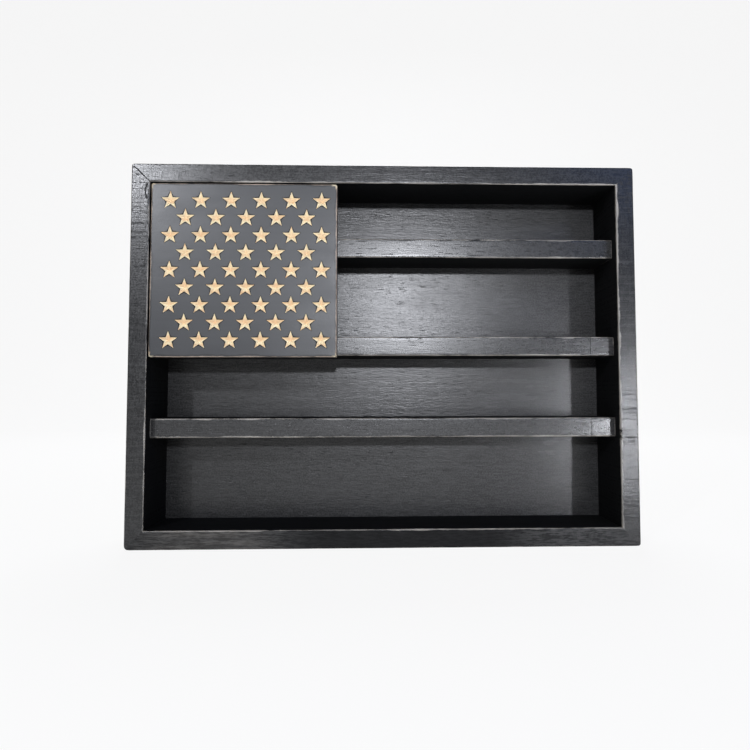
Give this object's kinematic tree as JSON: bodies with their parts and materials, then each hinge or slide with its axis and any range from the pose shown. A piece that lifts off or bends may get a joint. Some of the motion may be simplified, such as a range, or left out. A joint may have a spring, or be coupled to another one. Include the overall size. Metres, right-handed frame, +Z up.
{
  "type": "flag layout wall display shelf",
  "caption": "Open-front wooden wall display case laid out like a flag, with shelves for stripes, a carved star panel at the upper left and keyhole hangers in its rear edges.",
  "frame": {"origin": "centre of the case's footprint on the surface that it stands on", "axes": "+X to the right seen from the front, +Y from the open front to the wall, +Z up"},
  "size_m": [0.52, 0.089, 0.3915],
  "materials": {
    "black_painted_wood": "satin black paint over pine, sanded through at the edges",
    "black_painted_plywood": "satin black paint over plywood, bare at the rear",
    "black_painted_star_wood": "satin black paint with stars carved through to bare wood",
    "bare_dowel_wood": "bare beech",
    "nail_steel": "bright steel nails, heads painted over",
    "hanger_steel": "zinc plated"
  },
  "bodies": {
    "root": {"frame_top_board": "black_painted_wood", "frame_bottom_board": "black_painted_wood", "frame_left_board": "black_painted_wood", "frame_right_board": "black_painted_wood", "upper_shelf": "black_painted_wood", "middle_shelf": "black_painted_wood", "lower_shelf": "black_painted_wood", "back_panel": "black_painted_plywood", "star_panel": "black_painted_star_wood", "star_panel_dowels": "bare_dowel_wood", "corner_nails": "nail_steel", "shelf_end_nails": "nail_steel", "back_panel_nails": "nail_steel", "shelf_rear_nails": "nail_steel", "left_hanger_plate": "hanger_steel", "right_hanger_plate": "hanger_steel", "hanger_screws": "hanger_steel"}
  },
  "joints": []
}
